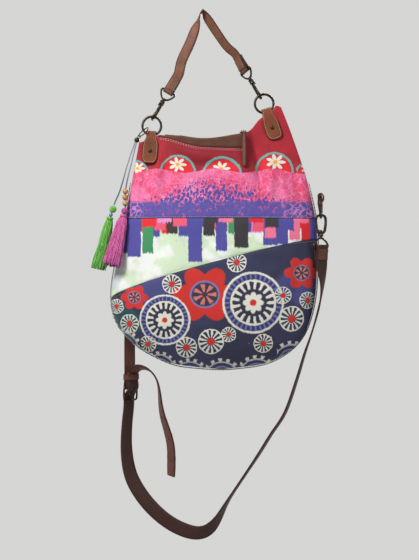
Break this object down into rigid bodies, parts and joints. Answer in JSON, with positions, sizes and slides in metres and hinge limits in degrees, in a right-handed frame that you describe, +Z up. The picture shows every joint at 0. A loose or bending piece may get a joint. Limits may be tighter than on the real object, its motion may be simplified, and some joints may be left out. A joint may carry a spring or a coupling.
{
  "type": "patchwork hobo shoulder bag",
  "caption": "Soft printed patchwork hobo bag hanging by its short leather handle, with a zip, snap hooks on rings, a long buckled shoulder strap and a bead and tassel charm.",
  "frame": {"origin": "underside of the handle's top bend, where the bag hangs", "axes": "+Z up, -Y towards the front of the bag, +X to the right as seen from the front"},
  "size_m": [0.401, 0.1079, 0.9019],
  "materials": {
    "dark_leather": "smooth oiled",
    "tab_leather": "matt",
    "puller_leather": "matt",
    "antique_metal": "antique bronze",
    "pale_metal": "worn",
    "printed_cloth": "printed weave",
    "navy_cloth": "printed weave",
    "piping_cloth": "speckled weave",
    "zip_tape": "woven",
    "zip_teeth": "dark",
    "cord": "twisted",
    "pink_thread": "thread",
    "green_thread": "thread",
    "bead_wood": "turned",
    "bead_blue": "gloss"
  },
  "bodies": {
    "handle": {"handle_strap": "dark_leather", "left_handle_eye": "antique_metal", "right_handle_eye": "antique_metal"},
    "left_hook": {"left_handle_hook": "antique_metal"},
    "left_gate": {"left_handle_gate": "antique_metal"},
    "right_hook": {"right_handle_hook": "antique_metal"},
    "right_gate": {"right_handle_gate": "antique_metal"},
    "left_o_ring": {"left_ring": "antique_metal"},
    "right_o_ring": {"right_ring": "antique_metal"},
    "bag": {"front_top_panel": "printed_cloth", "front_middle_panel": "printed_cloth", "front_lower_panel": "navy_cloth", "back_panel": "navy_cloth", "seam_piping": "piping_cloth", "zip_tape_front": "zip_tape", "zip_tape_back": "zip_tape", "zip_teeth_front": "zip_teeth", "zip_teeth_back": "zip_teeth", "left_tab": "tab_leather", "right_tab": "tab_leather", "left_tab_rivet": "antique_metal", "right_tab_rivet": "antique_metal", "left_side_tab": "tab_leather", "right_side_tab": "tab_leather"},
    "slider": {"zip_slider": "antique_metal"},
    "puller": {"zip_pull_link": "antique_metal", "zip_puller": "puller_leather"},
    "left_side_o_ring": {"left_side_ring": "antique_metal"},
    "right_side_o_ring": {"right_side_ring": "antique_metal"},
    "strap": {"strap_long": "dark_leather", "strap_short": "dark_leather", "strap_keeper": "dark_leather", "left_strap_eye": "antique_metal", "right_strap_eye": "antique_metal"},
    "strap_left_hook": {"left_strap_hook": "antique_metal"},
    "strap_left_gate": {"left_strap_gate": "antique_metal"},
    "strap_right_hook": {"right_strap_hook": "antique_metal"},
    "strap_right_gate": {"right_strap_gate": "antique_metal"},
    "buckle": {"buckle_frame": "antique_metal"},
    "prong": {"buckle_prong": "antique_metal"},
    "charm": {"charm_ring": "pale_metal", "charm_ball": "pale_metal", "charm_cord_pink": "cord", "charm_cord_green": "cord", "wood_bead_1": "bead_wood", "wood_bead_2": "bead_wood", "wood_bead_3": "bead_wood", "blue_bead": "bead_blue", "pink_head": "pink_thread", "pink_tassel": "pink_thread", "green_head": "green_thread", "green_tassel": "green_thread"}
  },
  "joints": [
    {"name": "left_hook_swivel", "type": "hinge", "parent": "handle", "child": "left_hook", "pos_m": [-0.07004, 0, -0.15883], "axis": [0.5101, 0, 0.8601], "range_deg": [-15, 15]},
    {"name": "left_gate_hinge", "type": "hinge", "parent": "left_hook", "child": "left_gate", "pos_m": [-0.07136, -0.006, -0.16107], "axis": [0.8601, 0, -0.5101], "range_deg": [0, 20], "stiffness_Nm_per_rad": 0.02, "springref_deg": -5.73},
    {"name": "right_hook_swivel", "type": "hinge", "parent": "handle", "child": "right_hook", "pos_m": [0.0862, 0, -0.12262], "axis": [-0.4945, 0, 0.8692], "range_deg": [-15, 15]},
    {"name": "right_gate_hinge", "type": "hinge", "parent": "right_hook", "child": "right_gate", "pos_m": [0.08749, -0.006, -0.12488], "axis": [0.8692, 0, 0.4945], "range_deg": [0, 20], "stiffness_Nm_per_rad": 0.02, "springref_deg": -5.73},
    {"name": "ring_swing", "type": "hinge", "parent": "handle", "child": "left_o_ring", "pos_m": [-0.082, 0, -0.179], "axis": [0.9805, 0, 0.1963], "range_deg": [-20, 20]},
    {"name": "right_ring_swing", "type": "hinge", "parent": "handle", "child": "right_o_ring", "pos_m": [0.0978, 0, -0.143], "axis": [0.9805, 0, 0.1963], "range_deg": [-20, 20]},
    {"name": "bag_swing", "type": "hinge", "parent": "left_o_ring", "child": "bag", "pos_m": [-0.08612, 0, -0.21035], "axis": [0.9814, 0, 0.1922], "range_deg": [-15, 15]},
    {"name": "zip_run", "type": "slide", "parent": "bag", "child": "slider", "axis": [-0.9997, 0, 0.0248], "range_m": [0, 0.12]},
    {"name": "puller_hinge", "type": "hinge", "parent": "slider", "child": "puller", "pos_m": [0.07061, 0, -0.20387], "axis": [1, 0, 0], "range_deg": [-60, 0]},
    {"name": "left_side_ring_turn", "type": "hinge", "parent": "bag", "child": "left_side_o_ring", "pos_m": [-0.12, 0.04, -0.31615], "axis": [0.1846, 0.9828, 0], "range_deg": [-2.5, 2.5]},
    {"name": "right_side_ring_turn", "type": "hinge", "parent": "bag", "child": "right_side_o_ring", "pos_m": [0.1995, -0.02, -0.31615], "axis": [0.1846, 0.9828, 0], "range_deg": [-2.5, 2.5]},
    {"name": "strap_swing", "type": "hinge", "parent": "bag", "child": "strap", "pos_m": [-0.12, 0.04, -0.334], "axis": [0.9828, -0.1846, 0], "range_deg": [0, 3.5]},
    {"name": "strap_left_swivel", "type": "hinge", "parent": "strap", "child": "strap_left_hook", "pos_m": [-0.12, 0.04, -0.3753], "axis": [0, 0, 1], "range_deg": [-15, 15]},
    {"name": "strap_left_gate_hinge", "type": "hinge", "parent": "strap_left_hook", "child": "strap_left_gate", "pos_m": [-0.1141, 0.03889, -0.3727], "axis": [-0.1846, -0.9828, 0], "range_deg": [0, 20], "stiffness_Nm_per_rad": 0.02, "springref_deg": -5.73},
    {"name": "strap_right_swivel", "type": "hinge", "parent": "strap", "child": "strap_right_hook", "pos_m": [0.1995, -0.02, -0.3753], "axis": [0, 0, 1], "range_deg": [-15, 15]},
    {"name": "strap_right_gate_hinge", "type": "hinge", "parent": "strap_right_hook", "child": "strap_right_gate", "pos_m": [0.1936, -0.01889, -0.3727], "axis": [0.1846, 0.9828, 0], "range_deg": [0, 20], "stiffness_Nm_per_rad": 0.02, "springref_deg": -5.73},
    {"name": "buckle_tilt", "type": "hinge", "parent": "strap", "child": "buckle", "pos_m": [-0.124, 0.026, -0.64], "axis": [-0.6561, -0.7547, 0], "range_deg": [0, 6]},
    {"name": "prong_lift", "type": "hinge", "parent": "buckle", "child": "prong", "pos_m": [-0.124, 0.026, -0.64], "axis": [-0.6561, -0.7547, 0], "range_deg": [0, 12]},
    {"name": "charm_swing", "type": "hinge", "parent": "bag", "child": "charm", "pos_m": [-0.09815, 0, -0.20362], "axis": [1, 0, 0], "range_deg": [-30, 0]}
  ],
  "couplings": [
    {"joint": "right_ring_swing", "follows": "ring_swing", "ratio": 1}
  ]
}
